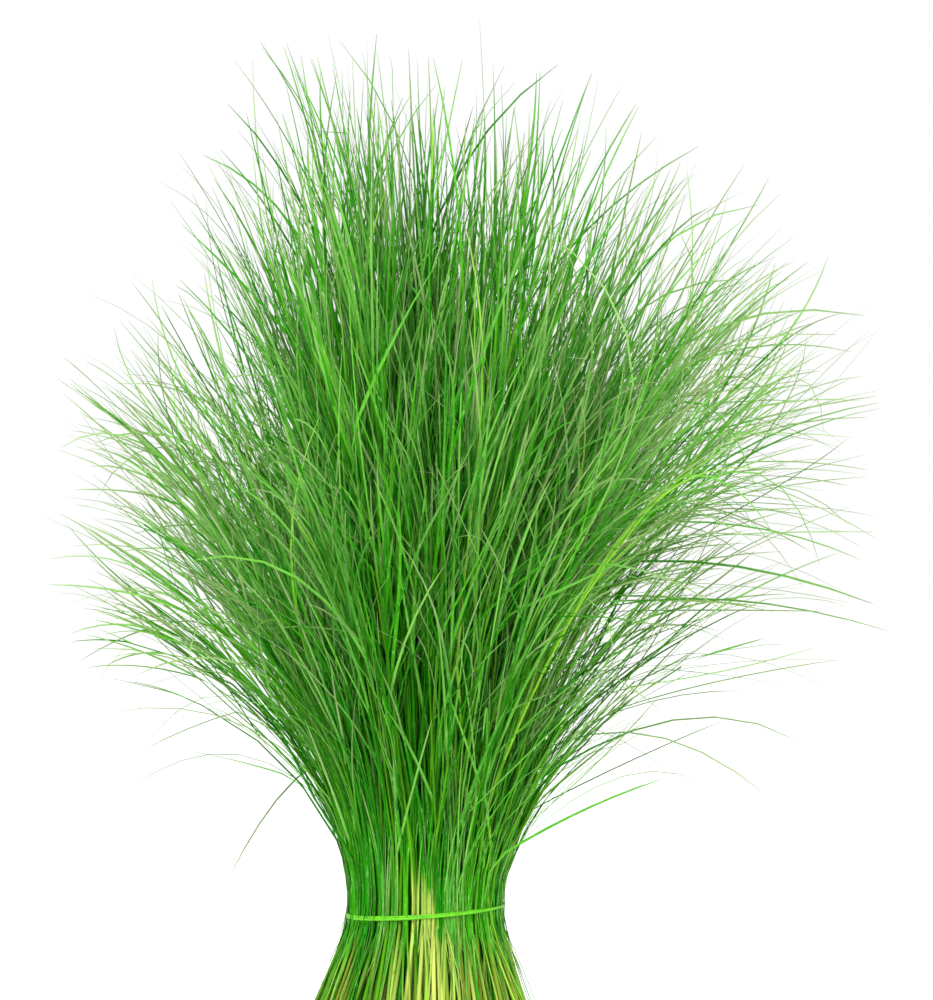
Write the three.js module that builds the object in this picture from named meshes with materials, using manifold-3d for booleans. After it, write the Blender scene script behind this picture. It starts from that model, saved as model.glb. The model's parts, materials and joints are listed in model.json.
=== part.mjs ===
// A tied bunch of durva grass that stands on its cut ends, like a small sheaf.
// Fifty-eight sprigs pass through one doubled rubber band. Each sprig is a bundle of stems that
// is round and straight through the band, splays out below it to a flat cut end, and opens above
// it into leaf blades. Millimetres, +Z up, the origin at the middle of the cut ends.
import * as THREE from "three";
import { mergeVertices } from "three/addons/utils/BufferGeometryUtils.js";
import Module from "manifold-3d";

const wasm = await Module();
wasm.setup();

// ---- Driving dimensions -------------------------------------------------------------------
const FOOT_SCALE = 36.5; // how far out a stem at the rim of the packing stands at its cut end
const NECK_SCALE = 20.8; // the same inside the band
const BAND_HEIGHT = 48; // the band's middle above the cut ends
const NECK_HALF = 4; // the stems run straight this far below and above the band's middle

const MIDDLE_LENGTH = 246; // neck to leaf tip, in the middle of the bunch
const RIM_LENGTH = { right: 144, left: 112, deep: 196 }; // the same at its rim, to each side
const LENGTH_POWER = 2.6; // above 1 keeps the leaves long until close to the rim
const RIM_LEAN = 104; // how far a rim leaf's tip leans from upright, in degrees
const LEAN_POWER = 1.45; // above 1 keeps the middle of the bunch upright
const BEND_POWER = 0.85; // below 1 starts the lean close to the band
const SPREAD = { right: 1.04, left: 0.84, deep: 0.5 }; // the share of the lean, to each side

const RINGS = [
  { radius: 0, sprigs: 1, blades: 4, steps: 2 },
  { radius: 0.24, sprigs: 6, blades: 4, steps: 2 },
  { radius: 0.47, sprigs: 12, blades: 4, steps: 3 },
  { radius: 0.7, sprigs: 18, blades: 5, steps: 3 },
  { radius: 0.93, sprigs: 21, blades: 6, steps: 4 },
]; // radius is a share of the packing's own radius, and steps are the straight stretches of a blade

const STEM = { radii: [3.75, 2.2, 2.2, 2], sides: 6, above: 12 }; // from cut end to past the neck
const BLADE = { foot: 1.05, belly: 2.3, bellyAt: 0.3, tip: 0.6, depth: 0.62, sides: 3, crowd: 1.4 };
const FAN = 0.068; // how far a sprig's blades stand from its middle, in shares of the packing radius
const SHORTEST = 0.74; // the shortest blade of a sprig, as a share of the longest

const BAND = { inner: 21.7, strand: 0.62, apart: 0.78, rise: 1.3, tilt: 4, sides: 6, steps: 64 };

const GREENS = { mid: 0x3f8f2a, deep: 0x2f7a24, fresh: 0x6fae3c };
const BAND_GREEN = 0x5fdc2c;

// ---- The packing and the flow of the stems --------------------------------------------------
const TURN = 2 * Math.PI;
const GOLDEN_TURN = TURN * 0.381966;

// A steady stand-in for chance: the same number from 0 to 1 for the same n.
function scatter(n) {
  const x = Math.sin(n * 12.9898 + 4.1414) * 43758.5453;
  return x - Math.floor(x);
}

// The share of the full lean that stems get in the direction (x, y) of the packing.
function spreadToward(x, y) {
  const out = Math.hypot(x, y) || 1;
  const side = x > 0 ? SPREAD.right : SPREAD.left;
  return Math.hypot((side * x) / out, (SPREAD.deep * y) / out);
}

// The distance from the axis, per unit of packing radius, below the neck.
function skirtScale(z) {
  const below = Math.max(0, BAND_HEIGHT - NECK_HALF - z) / (BAND_HEIGHT - NECK_HALF);
  return NECK_SCALE + (FOOT_SCALE - NECK_SCALE) * below;
}

// The length of a stem and its longest leaf at (x, y) in the packing, from the neck up.
function fullLength(x, y) {
  const radius = Math.hypot(x, y);
  const deep = radius > 0 ? (y / radius) ** 2 : 0;
  const side = x > 0 ? RIM_LENGTH.right : RIM_LENGTH.left;
  const rim = THREE.MathUtils.lerp(side, RIM_LENGTH.deep, deep);
  return THREE.MathUtils.lerp(MIDDLE_LENGTH, rim, Math.min(1, radius) ** LENGTH_POWER);
}

// The point that a stem at (x, y) in the packing has reached after a length above the neck.
function flow(x, y, length) {
  const radius = Math.hypot(x, y);
  const reach = fullLength(x, y);
  const lean = THREE.MathUtils.degToRad(RIM_LEAN) * radius ** LEAN_POWER * spreadToward(x, y);
  const steps = 24;
  let out = NECK_SCALE * radius;
  let up = BAND_HEIGHT + NECK_HALF;
  for (let i = 0; i < steps; i++) {
    const angle = lean * (((i + 0.5) / steps) * (length / reach)) ** BEND_POWER;
    out += (Math.sin(angle) * length) / steps;
    up += (Math.cos(angle) * length) / steps;
  }
  const unit = radius > 0 ? out / radius : 0;
  return new THREE.Vector3(unit * x, unit * y, up);
}

// ---- Solids --------------------------------------------------------------------------------
// A tapered rod through points that lean toward facing: a cylinder whose rings are moved onto
// the points. Level rings stay flat, and the others stand square to the rod.
function rod(points, sides, facing, halfWidth, halfDepth, level) {
  const last = points.length - 1;
  const geometry = new THREE.CylinderGeometry(1, 1, 1, sides, last);
  const place = geometry.attributes.position;
  const across = new THREE.Vector3(-Math.sin(facing), Math.cos(facing), 0);
  for (let i = 0; i < place.count; i++) {
    const ring = Math.round((place.getY(i) + 0.5) * last);
    const along = new THREE.Vector3(0, 0, 1);
    if (!level) along.subVectors(points[Math.min(ring + 1, last)], points[Math.max(ring - 1, 0)]);
    const outward = new THREE.Vector3().crossVectors(across, along).normalize();
    const point = points[ring].clone();
    point.addScaledVector(across, place.getX(i) * halfWidth(ring / last));
    point.addScaledVector(outward, place.getZ(i) * halfDepth(ring / last));
    place.setXYZ(i, point.x, point.y, point.z);
  }
  return geometry;
}

function solidOf(geometry) {
  const bare = geometry.clone();
  bare.deleteAttribute("normal");
  bare.deleteAttribute("uv");
  const merged = mergeVertices(bare, 1e-4);
  const vertProperties = new Float32Array(merged.attributes.position.array);
  const triVerts = new Uint32Array(merged.index.array);
  const solid = new wasm.Manifold(new wasm.Mesh({ numProp: 3, vertProperties, triVerts }));
  if (solid.volume() > 0) return solid;
  for (let i = 0; i < triVerts.length; i += 3) triVerts.subarray(i, i + 2).reverse();
  return new wasm.Manifold(new wasm.Mesh({ numProp: 3, vertProperties, triVerts }));
}

function geometryOf(solid) {
  const mesh = solid.getMesh();
  const indexed = new THREE.BufferGeometry();
  indexed.setAttribute("position", new THREE.BufferAttribute(mesh.vertProperties, 3));
  indexed.setIndex(new THREE.BufferAttribute(mesh.triVerts, 1));
  const faceted = indexed.toNonIndexed();
  faceted.computeVertexNormals();
  return faceted;
}

// The bundle of stems, from its flat cut end up through the band.
function stemBundle(x, y) {
  const heights = [0, BAND_HEIGHT - NECK_HALF, BAND_HEIGHT + NECK_HALF];
  const points = heights.map((z) => new THREE.Vector3(x, y, 0).multiplyScalar(skirtScale(z)).setZ(z));
  points.push(flow(x, y, STEM.above));
  const radius = (t) => STEM.radii[Math.round(t * (STEM.radii.length - 1))];
  return solidOf(rod(points, STEM.sides, Math.atan2(y, x), radius, radius, true));
}

// Half a blade's width, a share t of the way up it.
function bladeHalfWidth(t) {
  const { lerp, smoothstep } = THREE.MathUtils;
  const swell = lerp(BLADE.foot, BLADE.belly, smoothstep(t, 0, BLADE.bellyAt));
  return lerp(swell, BLADE.tip, smoothstep(t, BLADE.bellyAt, 1)) / 2;
}

// One leaf blade: three-sided, widest near its foot, drawn out to a thin tip. Its straight
// stretches are shorter near the neck, where the blades stand close together.
function leafBlade(x, y, length, steps) {
  const points = [];
  for (let i = 0; i <= steps; i++) points.push(flow(x, y, length * (i / steps) ** BLADE.crowd));
  const halfWidth = (t) => bladeHalfWidth(t ** BLADE.crowd);
  const halfDepth = (t) => BLADE.depth * halfWidth(t);
  return solidOf(rod(points, BLADE.sides, Math.atan2(y, x), halfWidth, halfDepth, false));
}

// One sprig: its stems and the blades that fan out of them, grown as one piece.
function sprig(x, y, ring, seed) {
  let whole = stemBundle(x, y);
  for (let j = 0; j < ring.blades; j++) {
    const offset = j === 0 ? 0 : FAN;
    const facing = Math.atan2(y, x) + (TURN * j) / (ring.blades - 1);
    const bladeX = x + offset * Math.cos(facing);
    const bladeY = y + offset * Math.sin(facing);
    const share = j === 0 ? 1 : THREE.MathUtils.lerp(SHORTEST, 1, scatter(seed * 7 + j));
    const length = share * fullLength(bladeX, bladeY);
    whole = whole.add(leafBlade(bladeX, bladeY, length, ring.steps));
  }
  return geometryOf(whole);
}

// The rubber band, wound twice: its two turns twist half a turn about each other each time
// round, so they lie one above the other on one side and one behind the other across from it.
function bandGeometry() {
  const geometry = new THREE.TorusGeometry(1, 0.5, BAND.sides, BAND.steps);
  const place = geometry.attributes.position;
  const middle = BAND.inner + BAND.strand + BAND.apart;
  for (let i = 0; i < place.count; i++) {
    const main = Math.atan2(place.getY(i), place.getX(i));
    const around = Math.atan2(place.getZ(i), Math.hypot(place.getX(i), place.getY(i)) - 1);
    const out = middle + BAND.apart * Math.cos(main) + BAND.strand * Math.cos(around);
    const up = BAND.rise * Math.sin(main) + BAND.strand * Math.sin(around);
    place.setXYZ(i, out * Math.cos(2 * main), out * Math.sin(2 * main), up);
  }
  return geometryOf(solidOf(geometry));
}

// ---- The bunch -----------------------------------------------------------------------------
const bunch = new THREE.Group();
bunch.name = "durva_bunch";

const greens = Object.values(GREENS);
let count = 0;
RINGS.forEach((ring, level) => {
  for (let k = 0; k < ring.sprigs; k++) {
    const angle = (TURN * k) / ring.sprigs + level * GOLDEN_TURN;
    const x = ring.radius * Math.cos(angle);
    const y = ring.radius * Math.sin(angle);
    count += 1;
    const finish = new THREE.MeshStandardMaterial({
      color: greens[count % greens.length],
      roughness: 0.55,
      metalness: 0,
    });
    const mesh = new THREE.Mesh(sprig(x, y, ring, count), finish);
    mesh.name = `durva_sprig_${String(count).padStart(2, "0")}`;
    bunch.add(mesh);
  }
});

const band = new THREE.Mesh(
  bandGeometry(),
  new THREE.MeshStandardMaterial({ color: BAND_GREEN, roughness: 0.35, metalness: 0 }),
);
band.name = "tie_band";
band.position.z = BAND_HEIGHT;
band.rotation.y = -THREE.MathUtils.degToRad(BAND.tilt);
bunch.add(band);

export default bunch;
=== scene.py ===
"""A tied bunch of durva grass: its stems, its leaves and its rubber band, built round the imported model.

Metres, +Z up, the origin at the middle of the cut ends. The file is laid out as a Blender add-on and is
run as a script: main() registers the classes and calls the operators in order.
"""

import json
import math

import bpy
import numpy as np
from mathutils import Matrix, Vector


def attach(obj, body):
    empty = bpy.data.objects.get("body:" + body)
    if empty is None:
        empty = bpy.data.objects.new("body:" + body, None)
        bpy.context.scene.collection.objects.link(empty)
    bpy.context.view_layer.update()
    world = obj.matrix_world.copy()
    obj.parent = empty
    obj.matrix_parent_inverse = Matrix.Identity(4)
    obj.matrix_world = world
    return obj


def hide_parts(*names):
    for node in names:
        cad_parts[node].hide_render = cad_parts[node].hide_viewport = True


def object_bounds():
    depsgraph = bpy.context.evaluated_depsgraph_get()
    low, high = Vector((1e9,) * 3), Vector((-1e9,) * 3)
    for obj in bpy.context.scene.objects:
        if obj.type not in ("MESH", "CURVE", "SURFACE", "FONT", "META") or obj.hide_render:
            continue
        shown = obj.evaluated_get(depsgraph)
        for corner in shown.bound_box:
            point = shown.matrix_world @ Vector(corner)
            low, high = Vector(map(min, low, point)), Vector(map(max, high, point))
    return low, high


bl_info = {
    "name": "Durva Bunch",
    "version": (1, 0, 0),
    "blender": (4, 5, 0),
    "location": "3D View > Sidebar > Durva",
    "description": "Grows a tied bunch of durva grass: its stems, leaves and rubber band",
    "category": "Object",
}

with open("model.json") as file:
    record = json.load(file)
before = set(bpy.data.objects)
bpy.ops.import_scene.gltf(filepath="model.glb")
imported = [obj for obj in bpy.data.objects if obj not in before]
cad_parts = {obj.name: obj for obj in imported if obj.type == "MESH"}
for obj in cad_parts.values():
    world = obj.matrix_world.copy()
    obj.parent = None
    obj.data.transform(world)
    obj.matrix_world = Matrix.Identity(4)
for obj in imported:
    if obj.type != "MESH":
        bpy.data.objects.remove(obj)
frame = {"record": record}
CAD_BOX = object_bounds()

# ---- The packing and the flow of the stems, in metres, as the CAD model has them ------------
FOOT_SCALE = 0.0365  # how far out a stem at the rim of the packing stands at its cut end
FOOT_SIDE = {"right": 0.91, "left": 1.04}  # how much further in or out the cut ends stand, to each side
NECK_SCALE = 0.0208  # how far out a stem at the rim stands inside the band
BAND_HEIGHT = 0.048  # the band's middle above the cut ends
NECK_HALF = 0.004  # the stems run straight this far below and above the band's middle
NECK_TOP = BAND_HEIGHT + NECK_HALF
MIDDLE_LENGTH = 0.246  # neck to leaf tip, in the middle of the bunch
RIM_LENGTH = {"right": 0.144, "left": 0.112, "deep": 0.196}  # the same at its rim
LENGTH_POWER = 2.6  # how late the length falls off from the middle to the rim
RIM_LEAN = math.radians(104)  # how far a rim leaf's tip leans from upright
LEAN_POWER = 1.45  # how late the lean grows from the middle to the rim
BEND_POWER = 0.85  # how late it grows from the neck to the tip
SPREAD = {"right": 1.04, "left": 0.84, "deep": 0.5}  # the share of the lean, to each side
OPENING = {"right": math.radians(15), "left": math.radians(5)}  # a rim stem's lean where it leaves the band
# How far out the stems fan: the share of them that keeps inside each radius, to each side.
FAN_SHARE = [0, 0.3, 0.6, 0.8, 0.9, 0.96, 1]
FAN_RADIUS = {
    "right": [0, 0.31, 0.46, 0.54, 0.6, 0.7, 1],
    "left": [0, 0.31, 0.46, 0.55, 0.65, 0.8, 1],
    "deep": [0, 0.4, 0.65, 0.8, 0.9, 0.96, 1],
}
CROWN_PLACE = [-1, -0.75, -0.5, -0.28, 0, 0.28, 0.5, 0.62, 0.8, 1]  # across the fan, left to right
CROWN_REACH = [1.12, 1.13, 0.98, 1.15, 0.93, 1.06, 1.06, 1.29, 1.12, 1.05]  # how far the grass reaches there
RINGS = [(0, 1), (0.24, 6), (0.47, 12), (0.7, 18), (0.93, 21)]  # radius and sprigs of each ring
TURN = 2 * math.pi
GOLDEN_TURN = TURN * 0.381966
DOWN = np.array([0.0, 0.0, -1.0])

# ---- The grass itself ---------------------------------------------------------------------
SEED = 27
STEM, LEAF = 0, 1  # the two kinds of strand
STEM_SIDES = 6
LEAF_SIDES = 4
LEAF_SEGMENTS = 9
GRID = 44  # points along the path that a stem could take
PACKING_EDGE = 1.035  # where the outermost stems stand in the packing
FLARE = 1.035  # how much wider than in the band the stems stand just below it
SHEATH_SHARE = 0.3  # a leaf leaves its stem over this share of its length
NODE_HALF = 0.0014  # half the length of the swelling at a stem's node
NODED_FROM = 0.78  # stems further out than this in the packing are seen, and have nodes
OUTSIDE = 0.009  # how far a leaf may reach past the CAD model's box
FOOT_HEIGHT = -0.001  # a cut end's mean height; what would be under the floor is cut off at it
FOOT_UNEVEN = 0.0012
FOOT_EDGE = 1.05  # how far out a cut end may stand, by FOOT_SCALE
MIDWAY_STRAY = 0.3  # how far a stem strays between its cut end and the band, by its stray at the cut end
# How far leaves reach from a point above the neck, by their direction's lean from upright in degrees.
OUTLINE_HEIGHT = 0.0624
OUTLINE_LEAN = [0, 10, 16, 24, 30, 37, 42, 49, 56, 66, 84]
OUTLINE_REACH = {
    "right": [0.236, 0.229, 0.229, 0.215, 0.212, 0.208, 0.196, 0.177, 0.158, 0.136, 0.11],
    "left": [0.236, 0.236, 0.231, 0.205, 0.184, 0.17, 0.155, 0.14, 0.124, 0.097, 0.06],
}

# ---- How stems differ: a pair is a range, or the values at the two ends of one ----------------
PACKING_STRAY = 0.02  # round the packing, in radians
SPRIG_HEIGHT = (0.88, 1.05)  # each sprig's height against the others'
DRAW_SIDES = (1.15, 0.45)  # how strongly stems draw to their sprig's middle, at the left and the right
DRAW_FADE = (-0.2, 0.85)  # across the packing, from the one to the other
CROSSING_SHARE = 0.28  # the share of stems that stray further across their neighbours
CROSSING_MORE = 2.4  # and how much further
FAN_EDGE = 1.03  # how far out a stem may fan
OUTER = (0.25, 0.6)  # across the fan, where its outer parts begin and are full
WING = (0.6, 0.8)  # the same for the loose wing at its right
SHORT_STEM = (0.7, 0.8)  # the shortest stem's share of the reach, in the middle and in the outer parts
LONG_STEM = 1.08
WING_RAGGED = (0.66, 0.8)  # across the fan, where the wing's stems get uneven
WING_REACH = (0.4, 1.25)  # their share of the reach
FAN_OVER = 0.3  # stems go over to their places in the fan along this share of their length
WAVES = (3, 8)  # how far a stem's wave runs, in radians
WAVE_SIZE = 0.002
STEM_END = (0.4, 0.74)  # the share of the reach where a stem ends in its last leaf
NODE_FIRST = (0.006, 0.03)  # the lowest node's distance from the cut end
NODE_GAP = (0.019, 0.03)
NODE_LAST = 0.11  # no nodes further up than this
NODE_END = 0.005  # nor closer to the stem's tip
NODE_SWELL = 0.28
NODE_SHOULDER = 0.3  # the swelling just above a node
NODE_CLEAR = 2.2 * NODE_HALF  # no other points this close to one
STEM_STEP = 0.019  # between the points along a stem
STEM_STEPS_FROM = 0.016  # over the neck
STEM_STEPS_TO = 0.004  # below the tip
STEM_THICK = (0.82, 1.12)
STEM_TIP = 0.45  # a stem's thickness at its tip, by that in the band
STEM_ABOVE = 0.8  # the same over the band
STEM_THINS_OVER = 0.02
STEM_FOOT = 1.08  # the same at its cut end
STEM_FOOT_TO = 0.045

# ---- How leaves differ --------------------------------------------------------------------
FIRST_LEAF = (-0.004, 0.024)  # above the neck
GAP_RANGE = (0.7, 1.3)
GAP_MIDDLE = 1.2  # the gaps between leaves in the middle of the fan
GAP_OUTER = {"right": 0.62, "left": 0.9}  # the same in its outer parts
GAP_WING = 1.3
SIDE_STRAY = 0.35  # from straight across the stem, in radians
LEAF_LENGTH = (0.6, 1.35)
WING_LENGTH = 1.3
LEAF_ROOM = (0.55, 1.0)  # the share that a leaf may take of what is left to the stem's reach
LAST_ROOM, LAST_MORE, LAST_POWER = 0.58, 0.48, 1.1  # the same of a stem's last leaf: least, more, how rarely
SHORTEST_LEAF = 0.018
SPREAD_SHAPE, SPREAD_MIDDLE, SPREAD_RIM = 4, 1.6, 1.9  # a gamma law for the leaves' spread in degrees
LAST_SPREAD = 0.4
UPRIGHT = math.radians(12)  # leaves that spread less than this stay with their stem
RIGHT_SIDE = (0.25, 0.7)  # across the packing, where strays get common and stand higher
STRAY_RIM = 0.82  # strays come from stems further out than this
STRAY_BELOW = (0.06, 0.14)  # and this far above the neck at most, at the left and the right
STRAY_SHARE = (0.006, 0.17)
STRAY_SPREAD = (22, 58)  # degrees
STRAY_LENGTH = (0.045, 0.13)
STRAY_DROOP = 0.8  # how much strays hang, by other leaves
DROOP_LEAST, DROOP_MIDDLE, DROOP_RIM = 1.5, 5, 8  # least, most in the middle, and more at the rim
OUTER_DROOP = 1.3
HANGING_SHARE = 0.04  # the share of rim leaves that hang
HANGING_DROOP = (10, 18)
CURL = 3.0  # how much leaves bend to any side
OUTER_CURL = 1.5  # by that, in the outer parts
KINKED_SHARE = 0.01  # the share of rim leaves that are bent over
KINK_AT = (4, 9)  # segments up the leaf
KINK_SIZE = (0.4, 1.1)  # by the leaf's own heading
KINK_DROP = 1.2  # how much more down than outwards a leaf bends over
OUTLINE_LOOSE = (0.93, 1.05)  # how far single leaves keep to the outline
LEAST_KEPT = 0.35  # no leaf is cut to less of its length than this by the bunch's outline
LEAST_ALLOWED = 0.002  # the least room to each side that the CAD model's box leaves a leaf
HIGH = (0.3, 0.8)  # up the stem, where leaves start to get narrow and dry, and are fully so
WIDTH_STRAY, NARROWEST, WIDEST = 0.15, 0.65, 1.35
OUTER_WIDTH = 0.76  # how wide leaves are in the outer parts, by those in the middle
HIGH_WIDTH = 0.74  # the same high up the stems
# A blade's width along it: its foot, where it is widest, how it narrows from there, and its drawn-out tip.
BLADE_FOOT, BLADE_BELLY, BLADE_NARROWING, BLADE_POWER = 0.12, 0.3, 0.55, 1.4
TIP_FROM, TIP_NARROWING = 0.88, 0.75
LEAF_TURN, LEAF_TWIST = 0.4, 1.1  # radians, at its foot and along it
# Across the packing, where the dry flanks begin and are full.
FLANK = {"right": (0.3, 0.75), "left": (0.45, 0.9)}
SHADED = (0.05, 0.35)  # across the packing to the left, where it is darker
INSIDE_DRY = 0.4  # how dry a leaf is inside the bunch or off its flanks, against those on them
DRY_EDGE = (0.35, 1.1)
# The green is painted darker inside the bunch as painted shade and lighter at its rim.
TINT_INSIDE, TINT_RIM, TINT_FLANK, TINT_SHADED = 0.35, 0.95, 1.1, 0.82  # how light a leaf's green is
LIME_RARITY, DRY_RARITY = 40, 4  # powers: the higher, the fewer blades are lime or dry

# ---- The lime streak, strip and stems, and the blades round the outside ----------------------
# The lime streak at the front, from heights below the neck to above it: its middle and its half width.
STREAK_HEIGHT = [-0.03, -0.004, 0.012]
STREAK_MIDDLE = [math.radians(-78), math.radians(-88), math.radians(-94)]
STREAK_HALF = [math.radians(19), math.radians(11), math.radians(6)]
STREAK_EDGE = (0.75, 1.1)  # of its half width
STREAK_TOP = (0.002, 0.016)  # over the neck, where it ends
STREAK_SOFT = (0.6, 1.15)  # how wide it is to each strand
# The lime strip to its right: its strands, their angles at the cut ends, in the band and in the fan, and
# its half width.
STRIP_STRANDS = 14
STRIP_ANGLES = [math.radians(-6), math.radians(-35), math.radians(-80)]
STRIP_HALF = math.radians(4)
# Single lime stems: place in the packing, place they fan out to, and the heights over the neck of the lime.
LIME_STEMS = [
    (0.07, -0.97, 0.0, -0.93, -1, -0.002),
    (0.02, -0.95, 0.05, -0.9, -1, -0.004),
    (0.83, -0.6, 0.2, -0.82, 0.0, 0.16),
    (0.8, -0.64, 0.24, -0.8, 0.0, 0.12),
    (0.6, -0.75, 0.62, -0.55, 0.03, 0.13),
    (-0.1, -0.9, -0.16, -0.62, 0.12, 0.22),
    (0.05, -0.85, -0.02, -0.6, 0.1, 0.19),
]
LIME_BEGINS = 0.01  # how softly the lime of a stem begins, from below to above
LIME_ENDS = (0.008, 0.02)  # how softly it ends, below and above
LIME_THICK = 1.12
LIME_LEAF = 0.8  # how lime a lime stem's leaves are, by the stem
# The pale feet: the height over the neck where they are full, and where they end on stems and sheaths.
RIPE_FULL = -0.03
RIPE_STEM, RIPE_STEM_MORE = 0.002, 0.016  # the least, and how much more on the ripest stem
RIPE_WRAP = 0.008
PALE_LEAST, PALE_MORE, PALE_POWER = 0.28, 0.78, 1.3  # least, more on the ripest stem, and how rarely
PALE_SIDES = (0.7, 0.8)  # at the left and the right
PALE_STREAK = 0.55  # the least that the streak makes a stem pale
LEFT_TINT = 0.5  # how light the stems at the left are, by those at the right
HUSK_RARITY = 3.5  # a power: the higher, the fewer feet are husk
# The sheaths and blades round the outside.
WRAP_EDGE = (1.05, 1.07)  # where they stand in the packing
WRAP_LEAN = 0.16  # how far round they stray above the band, in radians
WRAP_FAN = (0.82, 1.0)  # how far out they fan
WRAP_START = {"wrap": 0.047, "strip": 0.012}  # the highest that they start
WRAP_TOP = (0.012, 0.075)  # where they end, over the neck
WRAP_STRAY = 1.6  # how far their feet stray, by the stems'
WRAP_TURN, WRAP_TWIST = 0.3, 0.8  # radians, at the foot and along the blade
WRAP_NARROW = 0.8  # their width, by other blades'
WRAP_WIDTH = (0.6, 1.1)
WRAP_PALE_POWER = 0.9
WRAP_PALE_SIDES = (0.74, 0.93)  # at the left and the right
WRAP_STREAK = (0.5, 1)  # how pale the streak makes them
WRAP_TINT = 0.8  # the lightest
WRAP_DRY_RARITY = 5
STRIP_LIME = (0.6, 1)

# ---- Sections, finishes, the bake map and the band ---------------------------------------------
STRANDS_APART = 97.0  # how far apart in the noise two strands lie whose tints differ by one
VEIN_COUNT = 21.0  # radians of a blade's veins from its midrib to its edge
BAND_DARK = 0.62  # the rubber's darker mottles, by its colour
BLADE_HOLLOW = -0.05  # the middle of a blade's hollow face, by half width
LEAF_ROWS = 3  # leaves above one another in the bake map; a stem takes a whole column
MAP_MARGIN, MAP_ACROSS = 0.12, 0.76  # a strand's start and width in its column
MAP_FOOT, MAP_ALONG = 0.06, 0.92  # its start and length in its row
CAP_SIZE = 0.4  # a cap's half width in its column
CAP_FOOT, CAP_FOOT_SIZE = 0.025, 0.04  # the lower cap's middle and size in its row
CAP_TIP, CAP_TIP_SIZE = 0.99, 0.01  # the same of the upper cap
BAND_STEPS = 160
BAND_SIDES = 16
BAND_TILT = math.radians(-4)
BAND_OVAL, BAND_LIFT = 1.08, 0.8  # the rubber's height by its width, and how far its two strands part


def smoothstep(low, high, value):
    t = np.clip((value - low) / (high - low), 0, 1)
    return t * t * (3 - 2 * t)


def mix(a, b, t):
    return a + (b - a) * t


def unit(vectors):
    return vectors / np.maximum(np.linalg.norm(vectors, axis=-1, keepdims=True), 1e-12)


def square_to(tangent, vectors):
    """The unit vectors nearest to vectors that stand square to tangent."""
    return unit(vectors - tangent * np.sum(vectors * tangent, axis=-1, keepdims=True))


# ---- The bunch's form ---------------------------------------------------------------------
def spread_toward(x, y):
    """The share of the full lean that stems get in the direction (x, y) of the packing."""
    out = np.maximum(np.hypot(x, y), 1e-9)
    side = np.where(x > 0, SPREAD["right"], SPREAD["left"])
    return np.hypot(side * x / out, SPREAD["deep"] * y / out)


def full_length(x, y):
    """The length of a stem and its longest leaf at (x, y) in the packing, from the neck up."""
    radius = np.hypot(x, y)
    deep = (y / np.maximum(radius, 1e-9)) ** 2
    side = np.where(x > 0, RIM_LENGTH["right"], RIM_LENGTH["left"])
    rim = mix(side, RIM_LENGTH["deep"], deep)
    return mix(MIDDLE_LENGTH, rim, np.minimum(1, radius) ** LENGTH_POWER)


def flow(x, y, lengths):
    """Points (n, m, 3) that stems at (x, y) have reached after rising lengths (n, m) above the neck."""
    radius = np.hypot(x, y)
    lean = RIM_LEAN * radius**LEAN_POWER * spread_toward(x, y)
    step = np.diff(lengths, axis=1)
    middle = (lengths[:, 1:] + lengths[:, :-1]) / 2 / full_length(x, y)[:, None]
    opening = np.where(x > 0, OPENING["right"], OPENING["left"]) * radius * np.abs(x)
    angle = lean[:, None] * middle**BEND_POWER + opening[:, None] * (1 - np.minimum(1, middle))
    out = np.cumsum(np.sin(angle) * step, axis=1) / np.maximum(radius, 1e-9)[:, None]
    points = np.empty((*lengths.shape, 3))
    points[:, :, 0] = NECK_SCALE * x[:, None]
    points[:, :, 1] = NECK_SCALE * y[:, None]
    points[:, :, 2] = NECK_TOP
    points[:, 1:, 0] += out * x[:, None]
    points[:, 1:, 1] += out * y[:, None]
    points[:, 1:, 2] += np.cumsum(np.cos(angle) * step, axis=1)
    return points


def fan_radius(x, y, clumping):
    """How far out stems fan that stand at (x, y) in the packing, once they draw to their sprigs' middles."""
    out = np.hypot(x, y)
    share = np.minimum(1, out / mix(PACKING_EDGE, RINGS[-1][0], clumping)) ** 2
    right, left, deep = (np.interp(share, FAN_SHARE, FAN_RADIUS[side]) for side in ("right", "left", "deep"))
    return mix(np.where(x > 0, right, left), deep, (y / out) ** 2)


def sprig_centres():
    """Each sprig's place in the packing, in the order of the CAD model's nodes."""
    places = []
    for level, (radius, count) in enumerate(RINGS):
        for k in range(count):
            angle = TURN * k / count + level * GOLDEN_TURN
            places.append((radius * math.cos(angle), radius * math.sin(angle)))
    return np.array(places)


# ---- Strands: the centre lines of the stems and leaves --------------------------------------
class Strands:
    """The centre lines of one sprig's stems and leaves, stems first."""

    FIELDS = ("thickness", "twist", "tint", "along", "pale", "lime", "dry", "swell")

    def __init__(self):
        self.points = []
        self.edges = []
        self.values = {name: [] for name in self.FIELDS}
        self.strand = []
        self.kind = []
        self.count = {STEM: 0, LEAF: 0}

    def add(self, points, kind, **values):
        start = len(self.strand)
        size = len(points)
        self.points.append(points)
        self.edges.extend((start + i, start + i + 1) for i in range(size - 1))
        for name in self.FIELDS:
            self.values[name].append(np.broadcast_to(values.get(name, 0.0), size))
        self.strand.extend([self.count[STEM] + self.count[LEAF]] * size)
        self.kind.extend([kind] * size)
        self.count[kind] += 1

    def mesh(self, name):
        mesh = bpy.data.meshes.new(name)
        mesh.from_pydata(np.concatenate(self.points), self.edges, [])
        for field in self.FIELDS:
            layer = mesh.attributes.new(field, "FLOAT", "POINT")
            layer.data.foreach_set("value", np.concatenate(self.values[field]).astype(np.float32))
        for field, values in (("strand", self.strand), ("kind", self.kind)):
            layer = mesh.attributes.new(field, "INT", "POINT")
            layer.data.foreach_set("value", np.array(values, np.int32))
        return mesh


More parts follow.
